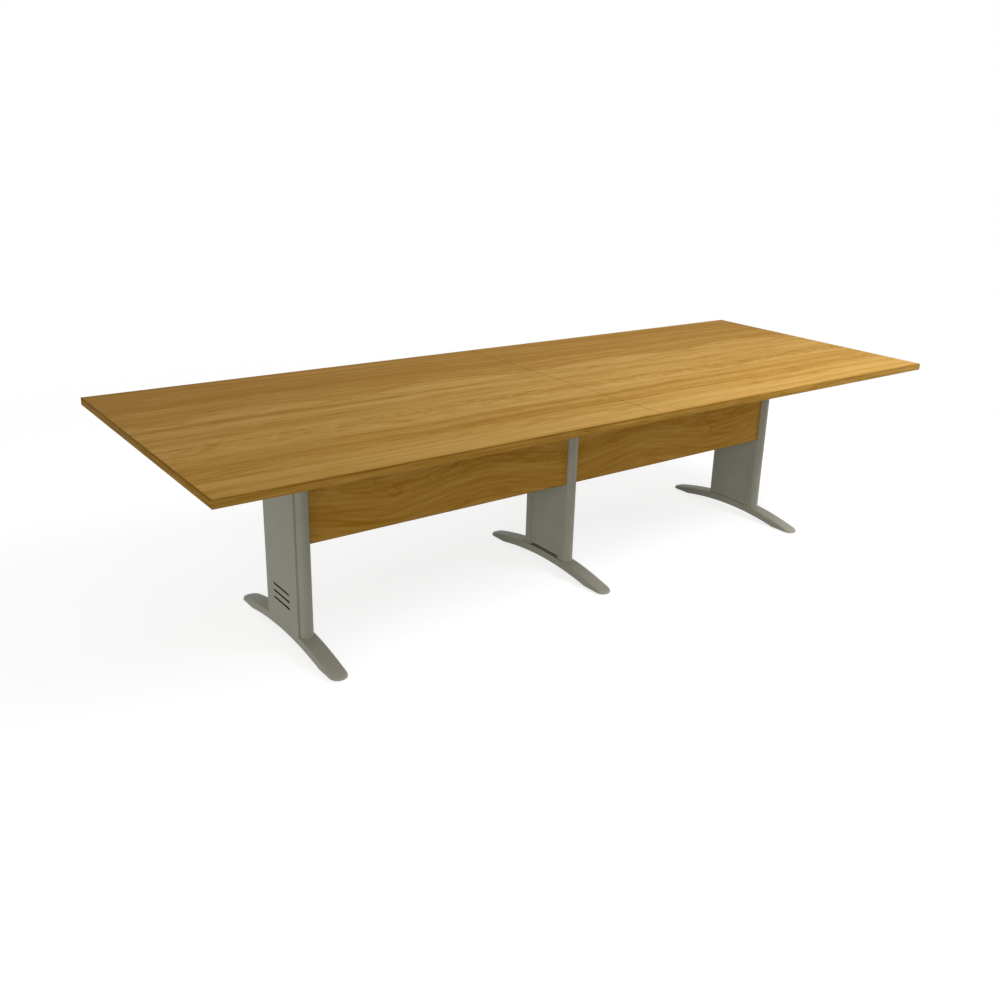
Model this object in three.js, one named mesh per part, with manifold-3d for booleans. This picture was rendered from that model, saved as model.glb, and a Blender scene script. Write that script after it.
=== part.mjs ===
// Conference table: a two-piece laminate top on three steel panel legs with arched feet, cable raceways,
// levelling glides and two modesty boards. Millimetres, +Z up, X along the table. The origin is on the
// floor under the middle of the top, and the modesty boards stand on the front, -Y, side of the legs.
import * as THREE from "three";
import { mergeVertices } from "three/addons/utils/BufferGeometryUtils.js";
import Module from "manifold-3d";

// Overall size
const TABLE_LENGTH = 3000;
const TABLE_WIDTH = 1100;
const TABLE_HEIGHT = 735;

// Clearances
const FIT = 0.3; // between pieces that are glued, welded or seated together
const HOLE_GAP = 0.3; // all round a screw, dowel or stud in its hole
const SEAM_GAP = 0.6; // between the two halves of the top
const UNDER_TOP_GAP = 3; // from the top's underside down to a cover or a modesty board
const FLUSH_COVER_GAP = 0.8; // beside the middle leg's cover

// Top boards, their edge bands and the dowels in the seam
const TOP_THICKNESS = 25;
const BAND_THICKNESS = 2;
const BAND_ROUND = 1.5;
const DOWEL_RADIUS = 4;
const DOWEL_LENGTH = 40;
const DOWEL_EDGE = 150; // from the table's long edges

// Feet: arched pressed shells, open underneath
const FOOT_LENGTH = 700;
const FOOT_WIDTH = 58;
const FOOT_SHEET = 2.5;
const FOOT_CROWN = 55.5; // height of the top at the middle
const FOOT_NOSE = 10.6; // height of the top at the toes' ends
const FOOT_RIM = 5; // height of the flat rim under the toes
const TOE_LENGTH = 99; // flat stretch of the rim at each end
const ARCH_RISE = 24; // of the rim, between the toes
const FOOT_EDGE_MIDDLE = 2; // rounding of the top's edges under the leg
const FOOT_EDGE_TOE = 8; // rounding of the top's edges at the toes
const FOOT_EDGE_SHARE = 0.8; // most of a toe's height that its rounding takes
const SHARPEST_EDGE = 0.5; // rounding left inside a tight fold

// Levelling glides and the nuts welded into the toes for them
const GLIDE_INSET = 62; // from the toe's end
const GLIDE_RADIUS = 15;
const GLIDE_HEIGHT = 8;
const GLIDE_CHAMFER = 1.5;
const STUD_RADIUS = 4;
const NUT_RADIUS = 7.5; // to the corners of the hexagon

// Legs
const LEG_END_INSET = 430; // from the table's ends to the outer legs' middles
const LEG_DEPTH = 264; // over the two columns' noses
const COLUMN_WIDTH = 46; // also the diameter of the noses
const COLUMN_DEPTH = 50;
const COLUMN_WALL = 2;
const COLUMN_CORNER = 0.5;
const CABLE_SLOT = 9.5; // from the foot up to the middle leg's web and cover
const CABLE_WINDOW = 30; // from the web up to the rail
const WEB_SHEET = 1.5;

// Raceway covers
const COVER_SHEET = 1.2;
const COVER_FOLD_ROUND = 2;
const COVER_LAP = 3; // of the outer covers past the middle of the columns' noses
const FLUSH_COVER_FOLD = 14; // depth of the middle cover
const TAB_REACH = 8; // of the outer covers' tabs in between the columns
const TAB_HEIGHT = 60;
const TAB_END = 90; // from a cover's end to its tab
const SLOT_COUNT = 3;
const SLOT_LENGTH = 120;
const SLOT_HEIGHT = 7.5;
const SLOT_PITCH = 24.5;
const SLOT_RISE = 72; // from the foot's crown to the lowest slot

// Rails on the columns, and the screws that hold the top
const RAIL_LENGTH = 600;
const RAIL_HEIGHT = 25;
const RAIL_SHEET = 2.5;
const RAIL_FOLD_ROUND = 3;
const RAIL_SCREW_END = 30; // from the rail's ends to the outer screws
const RAIL_SCREW_PITCH = 100; // from an outer screw to the inner one
const SEAM_SCREW_OFFSET = 13; // from the seam to the screws beside it
const SCREW_RADIUS = 2.5;
const SCREW_HEAD_RADIUS = 5;
const SCREW_CROWN_RADIUS = 3; // flat top of the head
const SCREW_HEAD_HEIGHT = 3;
const RAIL_SCREW_LENGTH = 20;
const LUG_SCREW_LENGTH = 15;

// Modesty boards and the lugs that hold them
const MODESTY_THICKNESS = 18;
const MODESTY_HEIGHT = 345;
const MODESTY_BAND = 1;
const LUG_SHEET = 2.5;
const LUG_HEIGHT = 120;
const LUG_WIDTH = 32;
const LUG_RISE = 120; // from the board's lower edge to the lug

// Facets
const NOSE_STEPS = 20; // in a half turn of a column's nose, and along the foot's top
const FOLD_STEPS = 4;
const TOE_STEPS = 5; // in a quarter turn of a toe
const ARCH_STEPS = 12;
const EDGE_STEPS = 3; // over a foot's rounded edge
const TURNED_STEPS = 20;
const HOLE_STEPS = 12;
const NUT_SIDES = 6;
const MERGE_TOLERANCE = 1e-4;

// Worked out from the sizes above
const topUnderside = TABLE_HEIGHT - TOP_THICKNESS;
const railBottom = topUnderside - RAIL_HEIGHT;
const coverTop = topUnderside - UNDER_TOP_GAP;
const legOffset = TABLE_LENGTH / 2 - LEG_END_INSET;
const columnInside = LEG_DEPTH / 2 - COLUMN_DEPTH;
const columnMiddle = LEG_DEPTH / 2 - COLUMN_DEPTH / 2;
const noseMiddle = LEG_DEPTH / 2 - COLUMN_WIDTH / 2;
const cableSlotTop = FOOT_CROWN + CABLE_SLOT;
const glideOffset = FOOT_LENGTH / 2 - GLIDE_INSET;
const dowelOffset = TABLE_WIDTH / 2 - DOWEL_EDGE;
const modestyBottom = coverTop - MODESTY_HEIGHT;
const archHalfSpan = FOOT_LENGTH / 2 - TOE_LENGTH;
const footFall = FOOT_CROWN - FOOT_NOSE;
const footTopRadius = ((FOOT_LENGTH / 2) ** 2 + footFall ** 2) / (2 * footFall);
const archRadius = (archHalfSpan ** 2 + ARCH_RISE ** 2) / (2 * ARCH_RISE);

const X = new THREE.Vector3(1, 0, 0);
const Y = new THREE.Vector3(0, 1, 0);
const Z = new THREE.Vector3(0, 0, 1);

const wasm = await Module();
wasm.setup();

// Booleans
function solidOf(geometry) {
  const bare = geometry.clone();
  bare.deleteAttribute("normal");
  bare.deleteAttribute("uv");
  const merged = mergeVertices(bare, MERGE_TOLERANCE);
  const vertProperties = merged.getAttribute("position").array;
  const triVerts = new Uint32Array(merged.getIndex().array);
  return new wasm.Manifold(new wasm.Mesh({ numProp: 3, vertProperties, triVerts }));
}

function geometryOf(solid) {
  const { vertProperties, triVerts } = solid.getMesh();
  const geometry = new THREE.BufferGeometry();
  geometry.setAttribute("position", new THREE.BufferAttribute(vertProperties, 3));
  geometry.setIndex(new THREE.BufferAttribute(triVerts, 1));
  geometry.computeVertexNormals();
  return geometry;
}

function cut(geometry, cutters) {
  const solid = cutters.reduce((left, cutter) => left.subtract(solidOf(cutter)), solidOf(geometry));
  return geometryOf(solid);
}

function join(geometry, others) {
  return geometryOf(others.reduce((sum, other) => sum.add(solidOf(other)), solidOf(geometry)));
}

// Basic forms
function prism(outline, length, right, up, along, curveSegments = NOSE_STEPS) {
  const options = { depth: length, bevelEnabled: false, curveSegments };
  const geometry = new THREE.ExtrudeGeometry(outline, options);
  return geometry.applyMatrix4(new THREE.Matrix4().makeBasis(right, up, along));
}

function block(low, high) {
  const size = high.map((value, i) => value - low[i]);
  const middle = high.map((value, i) => (value + low[i]) / 2);
  return new THREE.BoxGeometry(...size).translate(...middle);
}

function rodAlongX(radius, low, high) {
  const rod = new THREE.CylinderGeometry(radius, radius, high - low, HOLE_STEPS);
  return rod.rotateZ(Math.PI / 2).translate((low + high) / 2, 0, 0);
}

function rodAlongY(radius, low, high) {
  const rod = new THREE.CylinderGeometry(radius, radius, high - low, HOLE_STEPS);
  return rod.translate(0, (low + high) / 2, 0);
}

function rodAlongZ(radius, low, high, steps = HOLE_STEPS) {
  const rod = new THREE.CylinderGeometry(radius, radius, high - low, steps);
  return rod.rotateX(Math.PI / 2).translate(0, 0, (low + high) / 2);
}

// A turned piece about Z, from its radii and heights, bottom first
function turned(profile, steps = TURNED_STEPS) {
  const points = profile.map(([radius, height]) => new THREE.Vector2(radius, height));
  return new THREE.LatheGeometry(points, steps).rotateX(Math.PI / 2);
}

// Folded sheet: a face across the outline's x at y = 0, and two side folds drawn towards +y
function foldedSection(halfWidth, depth, sheet, round) {
  const section = new THREE.Shape();
  section.moveTo(-halfWidth, depth);
  section.lineTo(-halfWidth, round);
  section.absarc(round - halfWidth, round, round, Math.PI, 1.5 * Math.PI, false);
  section.lineTo(halfWidth - round, 0);
  section.absarc(halfWidth - round, round, round, 1.5 * Math.PI, 2 * Math.PI, false);
  section.lineTo(halfWidth, depth);
  section.lineTo(halfWidth - sheet, depth);
  section.lineTo(halfWidth - sheet, sheet);
  section.lineTo(sheet - halfWidth, sheet);
  section.lineTo(sheet - halfWidth, depth);
  section.closePath();
  return section;
}

// Materials
function laminate() {
  return new THREE.MeshStandardMaterial({ color: 0xb98a4a, roughness: 0.45, metalness: 0 });
}

function bandPlastic() {
  return new THREE.MeshStandardMaterial({ color: 0x8f6a35, roughness: 0.5, metalness: 0 });
}

function paintedSteel() {
  return new THREE.MeshStandardMaterial({ color: 0x8b897c, roughness: 0.55, metalness: 0.1 });
}

function glidePlastic() {
  return new THREE.MeshStandardMaterial({ color: 0x2a2a2b, roughness: 0.6, metalness: 0 });
}

function zincSteel() {
  return new THREE.MeshStandardMaterial({ color: 0xb7babd, roughness: 0.35, metalness: 0.9 });
}

function dowelWood() {
  return new THREE.MeshStandardMaterial({ color: 0xcfae7a, roughness: 0.7, metalness: 0 });
}

function named(name, geometry, material) {
  const mesh = new THREE.Mesh(geometry, material);
  mesh.name = name;
  return mesh;
}

// Foot: the height of its crowned top and of its arched rim, along its length
function arcDrop(radius, distance) {
  return radius - Math.sqrt(radius ** 2 - distance ** 2);
}

function footTop(y) {
  return FOOT_CROWN - arcDrop(footTopRadius, y);
}

function footRim(y) {
  if (Math.abs(y) >= archHalfSpan) return FOOT_RIM;
  return FOOT_RIM + ARCH_RISE - arcDrop(archRadius, y);
}

// The edge is tight where the leg stands and grows softer towards the toes
function footEdge(y) {
  const toeStart = FOOT_LENGTH / 2 - FOOT_WIDTH / 2;
  const share = THREE.MathUtils.smoothstep(Math.abs(y), LEG_DEPTH / 2, toeStart);
  const wanted = THREE.MathUtils.lerp(FOOT_EDGE_MIDDLE, FOOT_EDGE_TOE, share);
  return Math.min(wanted, FOOT_EDGE_SHARE * (footTop(y) - FOOT_RIM));
}

// One side of the foot's plan outline, from the front toe's end to the rear one's
function footOutline(inset) {
  const radius = FOOT_WIDTH / 2 - inset;
  const toeMiddle = FOOT_LENGTH / 2 - FOOT_WIDTH / 2;
  const rear = [];
  for (let i = 0; i <= TOE_STEPS; i++) {
    const angle = (i / TOE_STEPS) * (Math.PI / 2);
    const across = i === TOE_STEPS ? 0 : Math.cos(angle);
    const along = Math.sin(angle);
    rear.push({ x: radius * across, y: toeMiddle + radius * along, nx: across, ny: along });
  }
  const front = rear.map(({ x, y, nx, ny }) => ({ x, y: -y, nx, ny: -ny })).reverse();
  const toeStep = (toeMiddle + archHalfSpan) / 2;
  const straight = [-toeStep];
  for (let i = 0; i <= ARCH_STEPS; i++) straight.push(archHalfSpan * ((2 * i) / ARCH_STEPS - 1));
  straight.push(toeStep);
  return [...front, ...straight.map((y) => ({ x: radius, y, nx: 1, ny: 0 })), ...rear];
}

// Closed skin of the foot, drawn in by the sheet for its hollow, down to the given lower edge
function footSkin(inset, lowerEdge) {
  const side = footOutline(inset);
  const last = side.length - 1;
  const mirrored = side.slice(1, last).map((p) => ({ ...p, x: -p.x, nx: -p.nx }));
  const loop = [...side, ...mirrored.reverse()];
  const positions = [];
  for (const { x, y } of loop) positions.push(x, y, lowerEdge(y));
  for (let step = 0; step <= EDGE_STEPS; step++) {
    const angle = (step / EDGE_STEPS) * (Math.PI / 2);
    for (const { x, y, nx, ny } of loop) {
      const edge = Math.max(footEdge(y) - inset, SHARPEST_EDGE);
      const drawnIn = edge * (1 - Math.cos(angle));
      const ringY = y - ny * drawnIn;
      const height = footTop(ringY) - inset - edge * (1 - Math.sin(angle));
      positions.push(x - nx * drawnIn, ringY, height);
    }
  }
  const count = loop.length;
  const triangles = [];
  for (let ring = 0; ring <= EDGE_STEPS; ring++) {
    for (let i = 0; i < count; i++) {
      const low = ring * count;
      const high = low + count;
      const next = (i + 1) % count;
      triangles.push(low + i, low + next, high + next, low + i, high + next, high + i);
    }
  }
  const topRing = (EDGE_STEPS + 1) * count;
  const opposite = (i) => (count - i) % count;
  for (let i = 0; i < last; i++) {
    const corners = [i, i + 1, opposite(i + 1), opposite(i)];
    const quads = [];
    if (corners[1] !== corners[2]) quads.push([corners[0], corners[1], corners[2]]);
    if (corners[0] !== corners[3]) quads.push([corners[0], corners[2], corners[3]]);
    for (const [a, b, c] of quads) {
      triangles.push(topRing + a, topRing + b, topRing + c);
      triangles.push(a, c, b);
    }
  }
  const geometry = new THREE.BufferGeometry();
  geometry.setAttribute("position", new THREE.Float32BufferAttribute(positions, 3));
  geometry.setIndex(triangles);
  return geometry;
}

// The stud's end stays under the sloping sheet of the toe
const boreTop = footTop(glideOffset + STUD_RADIUS + HOLE_GAP) - FOOT_SHEET;
const studTop = boreTop - HOLE_GAP;
const nutBottom = GLIDE_HEIGHT + FIT;

function footShell() {
  const outside = solidOf(footSkin(0, footRim));
  const hollow = solidOf(footSkin(FOOT_SHEET, (y) => footRim(y) - FOOT_CROWN));
  let shell = outside.subtract(hollow);
  for (const side of [-1, 1]) {
    const nut = rodAlongZ(NUT_RADIUS, nutBottom, FOOT_CROWN, NUT_SIDES);
    nut.translate(0, side * glideOffset, 0);
    const bore = rodAlongZ(STUD_RADIUS + HOLE_GAP, 0, boreTop, TURNED_STEPS);
    bore.translate(0, side * glideOffset, 0);
    shell = shell.add(solidOf(nut).intersect(outside)).subtract(solidOf(bore));
  }
  return geometryOf(shell);
}

function glide() {
  return turned([
    [0, 0],
    [GLIDE_RADIUS - GLIDE_CHAMFER, 0],
    [GLIDE_RADIUS, GLIDE_CHAMFER],
    [GLIDE_RADIUS, GLIDE_HEIGHT / 2],
    [NUT_RADIUS, GLIDE_HEIGHT],
    [STUD_RADIUS, GLIDE_HEIGHT],
    [STUD_RADIUS, studTop - GLIDE_CHAMFER],
    [STUD_RADIUS - GLIDE_CHAMFER, studTop],
    [0, studTop],
  ]);
}

// Everything under the foot's top, for trimming what stands on it
function underFoot() {
  const reach = LEG_DEPTH / 2 + FOOT_WIDTH;
  const turn = Math.asin(reach / footTopRadius);
  const middle = FOOT_CROWN - footTopRadius + FIT;
  const outline = new THREE.Shape();
  outline.moveTo(-reach, -FOOT_CROWN);
  outline.lineTo(reach, -FOOT_CROWN);
  outline.absarc(0, middle, footTopRadius, Math.PI / 2 - turn, Math.PI / 2 + turn, false);
  outline.closePath();
  return prism(outline, 2 * FOOT_WIDTH, Y, Z, X).translate(-FOOT_WIDTH, 0, 0);
}

// Column: a tube with a half-round nose outwards and a flat side towards the raceway
function columnSection(inset, path) {
  const half = COLUMN_WIDTH / 2 - inset;
  const flat = columnInside + inset;
  const corner = Math.max(COLUMN_CORNER - inset, SHARPEST_EDGE);
  path.moveTo(corner - half, flat);
  path.lineTo(half - corner, flat);
  path.lineTo(half, flat + corner);
  path.absarc(0, noseMiddle, half, 0, Math.PI, false);
  path.lineTo(-half, flat + corner);
  path.closePath();
  return path;
}

function column() {
  const section = columnSection(0, new THREE.Shape());
  section.holes.push(columnSection(COLUMN_WALL, new THREE.Path()));
  const tube = prism(section, railBottom - FIT, X, Y, Z);
  return cut(tube, [underFoot()]);
}

// Web: a sheet flush with the columns. The outer legs' webs reach down to the foot, and the middle leg's
// web ends above it, which leaves the way out for cables.
function webSheet(bottom) {
  const half = columnInside - FIT;
  const low = [COLUMN_WIDTH / 2 - WEB_SHEET, -half, bottom];
  return block(low, [COLUMN_WIDTH / 2, half, railBottom - CABLE_WINDOW]);
}

function outerWeb() {
  return cut(webSheet(FOOT_RIM), [underFoot()]);
}

function middleWeb() {
  return webSheet(cableSlotTop);
}

// Outer legs' cover: a folded tray flush with the foot's side, with vent slots, and with tabs that
// grip in between the columns
function ventSlot(height) {
  const outline = new THREE.Shape();
  const half = SLOT_LENGTH / 2 - SLOT_HEIGHT / 2;
  outline.absarc(half, height, SLOT_HEIGHT / 2, -Math.PI / 2, Math.PI / 2, false);
  outline.absarc(-half, height, SLOT_HEIGHT / 2, Math.PI / 2, 1.5 * Math.PI, false);
  outline.closePath();
  return prism(outline, COLUMN_WIDTH, Y, Z, X, 2 * FOLD_STEPS).translate(-FOOT_WIDTH, 0, 0);
}

function outerCover() {
  const depth = FOOT_WIDTH / 2 - COLUMN_WIDTH / 2 - FIT;
  const section = foldedSection(noseMiddle + COVER_LAP, depth, COVER_SHEET, COVER_FOLD_ROUND);
  const tray = prism(section, coverTop, Y.clone().negate(), X, Z, FOLD_STEPS);
  tray.translate(-FOOT_WIDTH / 2, 0, 0);
  const tabOuter = columnInside - FIT;
  const tabs = [];
  for (const bottom of [FOOT_CROWN + TAB_END, coverTop - TAB_END - TAB_HEIGHT]) {
    for (const side of [-1, 1]) {
      const edges = [side * tabOuter, side * (tabOuter - COVER_SHEET)].sort((a, b) => a - b);
      const low = [COVER_SHEET / 2 - FOOT_WIDTH / 2, edges[0], bottom];
      tabs.push(block(low, [TAB_REACH - COLUMN_WIDTH / 2, edges[1], bottom + TAB_HEIGHT]));
    }
  }
  const slots = [];
  for (let i = 0; i < SLOT_COUNT; i++) {
    slots.push(ventSlot(FOOT_CROWN + SLOT_RISE + i * SLOT_PITCH));
  }
  return cut(join(tray, tabs), [underFoot(), ...slots]);
}

// Middle leg's cover: a deeper tray that lies flush in between the columns
function flushCover() {
  const half = columnInside - FLUSH_COVER_GAP;
  const section = foldedSection(half, FLUSH_COVER_FOLD, COVER_SHEET, COVER_FOLD_ROUND);
  const tray = prism(section, railBottom - FIT - cableSlotTop, Y.clone().negate(), X, Z, FOLD_STEPS);
  return tray.translate(-COLUMN_WIDTH / 2, 0, cableSlotTop);
}

// Rail: a channel folded down on to the columns' ends
function rail(spots) {
  const section = foldedSection(COLUMN_WIDTH / 2, RAIL_HEIGHT - FIT, RAIL_SHEET, RAIL_FOLD_ROUND);
  const channel = prism(section, RAIL_LENGTH, X, Z.clone().negate(), Y, FOLD_STEPS);
  channel.translate(0, -RAIL_LENGTH / 2, topUnderside - FIT);
  const hole = SCREW_RADIUS + HOLE_GAP;
  const holes = spots.map(([x, y]) => rodAlongZ(hole, railBottom, TABLE_HEIGHT).translate(x, y, 0));
  return cut(channel, holes);
}

// Pan-head screw pointing up, with the seat of its head at the origin
function screw(length) {
  return turned(
    [
      [0, -SCREW_HEAD_HEIGHT],
      [SCREW_CROWN_RADIUS, -SCREW_HEAD_HEIGHT],
      [SCREW_HEAD_RADIUS, -SCREW_HEAD_HEIGHT / 2],
      [SCREW_HEAD_RADIUS, 0],
      [SCREW_RADIUS, 0],
      [SCREW_RADIUS, length - SCREW_RADIUS],
      [0, length],
    ],
    HOLE_STEPS,
  );
}

const railScrewSeat = topUnderside - FIT - RAIL_SHEET - FIT;
const outerScrewY = RAIL_LENGTH / 2 - RAIL_SCREW_END;
const innerScrewY = outerScrewY - RAIL_SCREW_PITCH;
const outerLegSpots = [-outerScrewY, -innerScrewY, innerScrewY, outerScrewY].map((y) => [0, y]);
const seamSpots = [-outerScrewY, outerScrewY].flatMap((y) => [
  [-SEAM_SCREW_OFFSET, y],
  [SEAM_SCREW_OFFSET, y],
]);

// A leg's cover faces -X, and +X where its facing is -1
const LEGS = [
  { name: "left", x: -legOffset, facing: 1, web: outerWeb, cover: outerCover, spots: outerLegSpots },
  { name: "middle", x: 0, facing: 1, web: middleWeb, cover: flushCover, spots: seamSpots },
  { name: "right", x: legOffset, facing: -1, web: outerWeb, cover: outerCover, spots: outerLegSpots },
];

// One leg about its own middle, with its cover towards -X
function leg({ name, x, facing, web, cover, spots }) {
  const group = new THREE.Group();
  group.position.x = x;
  group.rotation.z = facing < 0 ? Math.PI : 0;
  group.add(named(`${name}_foot`, footShell(), paintedSteel()));
  group.add(named(`${name}_web_panel`, web(), paintedSteel()));
  group.add(named(`${name}_raceway_cover`, cover(), paintedSteel()));
  group.add(named(`${name}_top_rail`, rail(spots), paintedSteel()));
  for (const side of [-1, 1]) {
    const end = side * facing < 0 ? "front" : "rear";
    const tube = named(`${name}_column_${end}`, column(), paintedSteel());
    tube.rotation.z = side < 0 ? Math.PI : 0;
    const leveller = named(`${name}_levelling_glide_${end}`, glide(), glidePlastic());
    leveller.position.y = side * glideOffset;
    group.add(tube, leveller);
  }
  spots.forEach(([spotX, spotY], i) => {
    const fastener = named(`${name}_rail_screw_${i + 1}`, screw(RAIL_SCREW_LENGTH), zincSteel());
    fastener.position.set(spotX, spotY, railScrewSeat);
    group.add(fastener);
  });
  return group;
}

// Edge band: a strip along X that faces +Y, with its outer edges rounded and holes for dowels
function edgeBand(length, holes) {
  const round = BAND_ROUND;
  const outline = new THREE.Shape();
  outline.moveTo(0, TABLE_HEIGHT);
  outline.lineTo(0, topUnderside);
  outline.absarc(BAND_THICKNESS - round, topUnderside + round, round, -Math.PI / 2, 0, false);
  outline.absarc(BAND_THICKNESS - round, TABLE_HEIGHT - round, round, 0, Math.PI / 2, false);
  outline.closePath();
  const strip = prism(outline, length, Y, Z, X, FOLD_STEPS).translate(-length / 2, 0, 0);
  const middle = topUnderside + TOP_THICKNESS / 2;
  const drills = holes.map((along) => {
    const drill = rodAlongY(DOWEL_RADIUS + HOLE_GAP, -BAND_THICKNESS, 2 * BAND_THICKNESS);
    return drill.translate(along, 0, middle);
  });
  return drills.length ? cut(strip, drills) : strip;
}

// One half of the top, on the left (-1) or the right (1) of the seam
function topHalf(side) {
  const group = new THREE.Group();
  const name = side < 0 ? "left" : "right";
  const setBack = BAND_THICKNESS + FIT;
  const endX = TABLE_LENGTH / 2;
  const seamX = SEAM_GAP / 2;
  const halfWidth = TABLE_WIDTH / 2 - setBack;
  const edges = [side * (seamX + setBack), side * (endX - setBack)].sort((a, b) => a - b);
  const board = block([edges[0], -halfWidth, topUnderside], [edges[1], halfWidth, TABLE_HEIGHT]);
  const drills = [];
  const drillTip = railScrewSeat + RAIL_SCREW_LENGTH + HOLE_GAP;
  for (const { x, facing, spots } of LEGS) {
    for (const [spotX, spotY] of spots) {
      const drill = rodAlongZ(SCREW_RADIUS + HOLE_GAP, railBottom, drillTip);
      drills.push(drill.translate(x + facing * spotX, facing * spotY, 0));
    }
  }
  const dowelReach = DOWEL_LENGTH / 2 + HOLE_GAP;
  for (const y of [-dowelOffset, dowelOffset]) {
    const drill = rodAlongX(DOWEL_RADIUS + HOLE_GAP, -dowelReach, dowelReach);
    drills.push(drill.translate(0, y, topUnderside + TOP_THICKNESS / 2));
  }
  group.add(named(`top_board_${name}`, cut(board, drills), laminate()));

  const longBand = endX - seamX;
  const shortBand = 2 * halfWidth;
  const longMiddle = side * (seamX + longBand / 2);
  const bandFace = TABLE_WIDTH / 2 - BAND_THICKNESS;
  const bands = [
    { edge: "front", length: longBand, x: longMiddle, y: -bandFace, quarterTurns: 2 },
    { edge: "rear", length: longBand, x: longMiddle, y: bandFace, quarterTurns: 0 },
    { edge: "end", length: shortBand, x: side * (endX - BAND_THICKNESS), y: 0, quarterTurns: -side },
    { edge: "seam", length: shortBand, x: side * (seamX + BAND_THICKNESS), y: 0, quarterTurns: side },
  ];
  for (const { edge, length, x, y, quarterTurns } of bands) {
    const holes = edge === "seam" ? [-dowelOffset, dowelOffset] : [];
    const band = named(`edge_band_${name}_${edge}`, edgeBand(length, holes), bandPlastic());
    band.position.set(x, y, 0);
    band.rotation.z = (quarterTurns * Math.PI) / 2;
    group.add(band);
  }
  return group;
}

function seamDowels() {
  const group = new THREE.Group();
  for (const [end, y] of [["front", -dowelOffset], ["rear", dowelOffset]]) {
    const pin = rodAlongX(DOWEL_RADIUS, -DOWEL_LENGTH / 2, DOWEL_LENGTH / 2);
    const dowel = named(`seam_dowel_${end}`, pin, dowelWood());
    dowel.position.set(0, y, topUnderside + TOP_THICKNESS / 2);
    group.add(dowel);
  }
  return group;
}

// Lug: an angle welded on a column's flat, beside the modesty board, drawn for the board's -X end
const modestyRear = MODESTY_THICKNESS / 2 - columnMiddle;
const lugOnColumn = columnMiddle - MODESTY_THICKNESS / 2 - columnInside - COLUMN_CORNER - FIT;
const lugBottom = modestyBottom + LUG_RISE;
const lugScrewX = LUG_SHEET + (LUG_WIDTH - LUG_SHEET) / 2;
const lugScrewZ = lugBottom + LUG_HEIGHT / 2;

function lug() {
  const outline = new THREE.Shape();
  outline.moveTo(0, 0);
  outline.lineTo(LUG_WIDTH, 0);
  outline.lineTo(LUG_WIDTH, LUG_SHEET);
  outline.lineTo(LUG_SHEET, LUG_SHEET);
  outline.lineTo(LUG_SHEET, lugOnColumn);
  outline.lineTo(0, lugOnColumn);
  outline.closePath();
  const angle = prism(outline, LUG_HEIGHT, X, Y, Z).translate(0, modestyRear + FIT, lugBottom);
  const hole = rodAlongY(SCREW_RADIUS + HOLE_GAP, modestyRear - LUG_SHEET, modestyRear + 2 * LUG_SHEET);
  return cut(angle, [hole.translate(lugScrewX, 0, lugScrewZ)]);
}

// One bay's modesty board between two legs' front columns, with a lug and a screw at each end
function modestyBay(name, lowX, highX) {
  const group = new THREE.Group();
  const low = lowX + COLUMN_WIDTH / 2 + FIT;
  const high = highX - COLUMN_WIDTH / 2 - FIT;
  const front = modestyRear - MODESTY_THICKNESS;
  const bandTop = modestyBottom + MODESTY_BAND;
  const board = block([low, front, bandTop + FIT], [high, modestyRear, coverTop]);
  const lugs = [
    { end: "a", x: low, facing: 1 },
    { end: "b", x: high, facing: -1 },
  ];
  const screwSeat = modestyRear + FIT + LUG_SHEET + FIT;
  const drills = lugs.map(({ x, facing }) => {
    const tip = screwSeat - LUG_SCREW_LENGTH - HOLE_GAP;
    const drill = rodAlongY(SCREW_RADIUS + HOLE_GAP, tip, modestyRear + FIT);
    return drill.translate(x + facing * lugScrewX, 0, lugScrewZ);
  });
  group.add(named(`modesty_board_${name}`, cut(board, drills), laminate()));
  const strip = block([low, front, modestyBottom], [high, modestyRear, bandTop]);
  group.add(named(`modesty_edge_band_${name}`, strip, bandPlastic()));
  for (const { end, x, facing } of lugs) {
    const angle = named(`modesty_lug_${name}_${end}`, lug(), paintedSteel());
    angle.position.x = x;
    angle.scale.x = facing;
    const fastener = named(`modesty_screw_${name}_${end}`, screw(LUG_SCREW_LENGTH), zincSteel());
    fastener.position.set(x + facing * lugScrewX, screwSeat, lugScrewZ);
    fastener.rotation.x = Math.PI / 2;
    group.add(angle, fastener);
  }
  return group;
}

const table = new THREE.Group();
table.add(topHalf(-1), topHalf(1), seamDowels());
for (const spec of LEGS) table.add(leg(spec));
table.add(modestyBay("left", -legOffset, 0), modestyBay("right", 0, legOffset));

export default table;
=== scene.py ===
import math

import bmesh
import bpy
from mathutils import Matrix, Vector


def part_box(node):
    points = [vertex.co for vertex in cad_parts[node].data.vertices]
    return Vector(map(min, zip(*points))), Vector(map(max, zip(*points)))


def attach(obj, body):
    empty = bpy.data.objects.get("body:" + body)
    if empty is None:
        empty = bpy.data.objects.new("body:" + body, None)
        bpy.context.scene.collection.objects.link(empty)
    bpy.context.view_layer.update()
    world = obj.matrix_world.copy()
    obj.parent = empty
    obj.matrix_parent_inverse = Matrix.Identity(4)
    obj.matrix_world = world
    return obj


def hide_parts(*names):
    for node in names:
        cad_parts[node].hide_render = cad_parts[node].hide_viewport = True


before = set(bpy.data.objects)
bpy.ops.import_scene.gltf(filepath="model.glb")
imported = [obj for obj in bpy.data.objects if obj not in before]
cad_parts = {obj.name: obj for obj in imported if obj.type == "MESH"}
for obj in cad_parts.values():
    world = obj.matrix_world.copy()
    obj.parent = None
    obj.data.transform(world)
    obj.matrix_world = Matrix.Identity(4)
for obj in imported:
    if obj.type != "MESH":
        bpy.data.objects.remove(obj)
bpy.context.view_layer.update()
scene = bpy.context.scene
scene.view_settings.view_transform = "Standard"

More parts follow.
